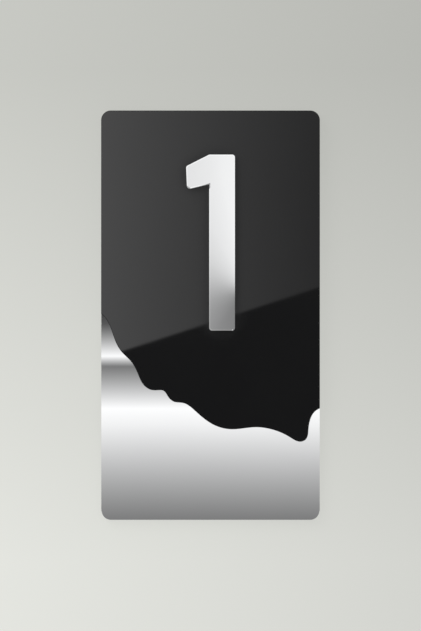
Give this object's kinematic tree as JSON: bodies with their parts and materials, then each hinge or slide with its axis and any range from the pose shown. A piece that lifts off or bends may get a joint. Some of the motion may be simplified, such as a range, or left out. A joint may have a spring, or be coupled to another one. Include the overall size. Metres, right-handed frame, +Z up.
{
  "type": "door number sign",
  "caption": "Upright rectangular door sign: mirror-silver plate, gloss black panel with a wavy lower edge, raised silver numeral, stuck on with foam tape.",
  "frame": {"origin": "middle of the plate's outline, on the door's face (the back of the middle tape strip)", "axes": "+Z up along the plate's long side, +Y into the door, +X to the right of someone facing the door; the sign's front looks along -Y"},
  "size_m": [0.08, 0.009, 0.15],
  "materials": {
    "silver_plate": "silver mirror acrylic, polished face, laser-cut edges, grey painted back",
    "gloss_black": "cast black acrylic, high gloss, laser-cut edges",
    "silver_numeral": "silver mirror acrylic, polished face and chamfer",
    "foam_tape": "white closed-cell foam with a tacky adhesive face"
  },
  "bodies": {
    "root": {"base_plate": "silver_plate", "black_panel": "gloss_black", "numeral_one": "silver_numeral", "tape_strip_upper": "foam_tape", "tape_strip_middle": "foam_tape", "tape_strip_lower": "foam_tape"}
  },
  "joints": []
}
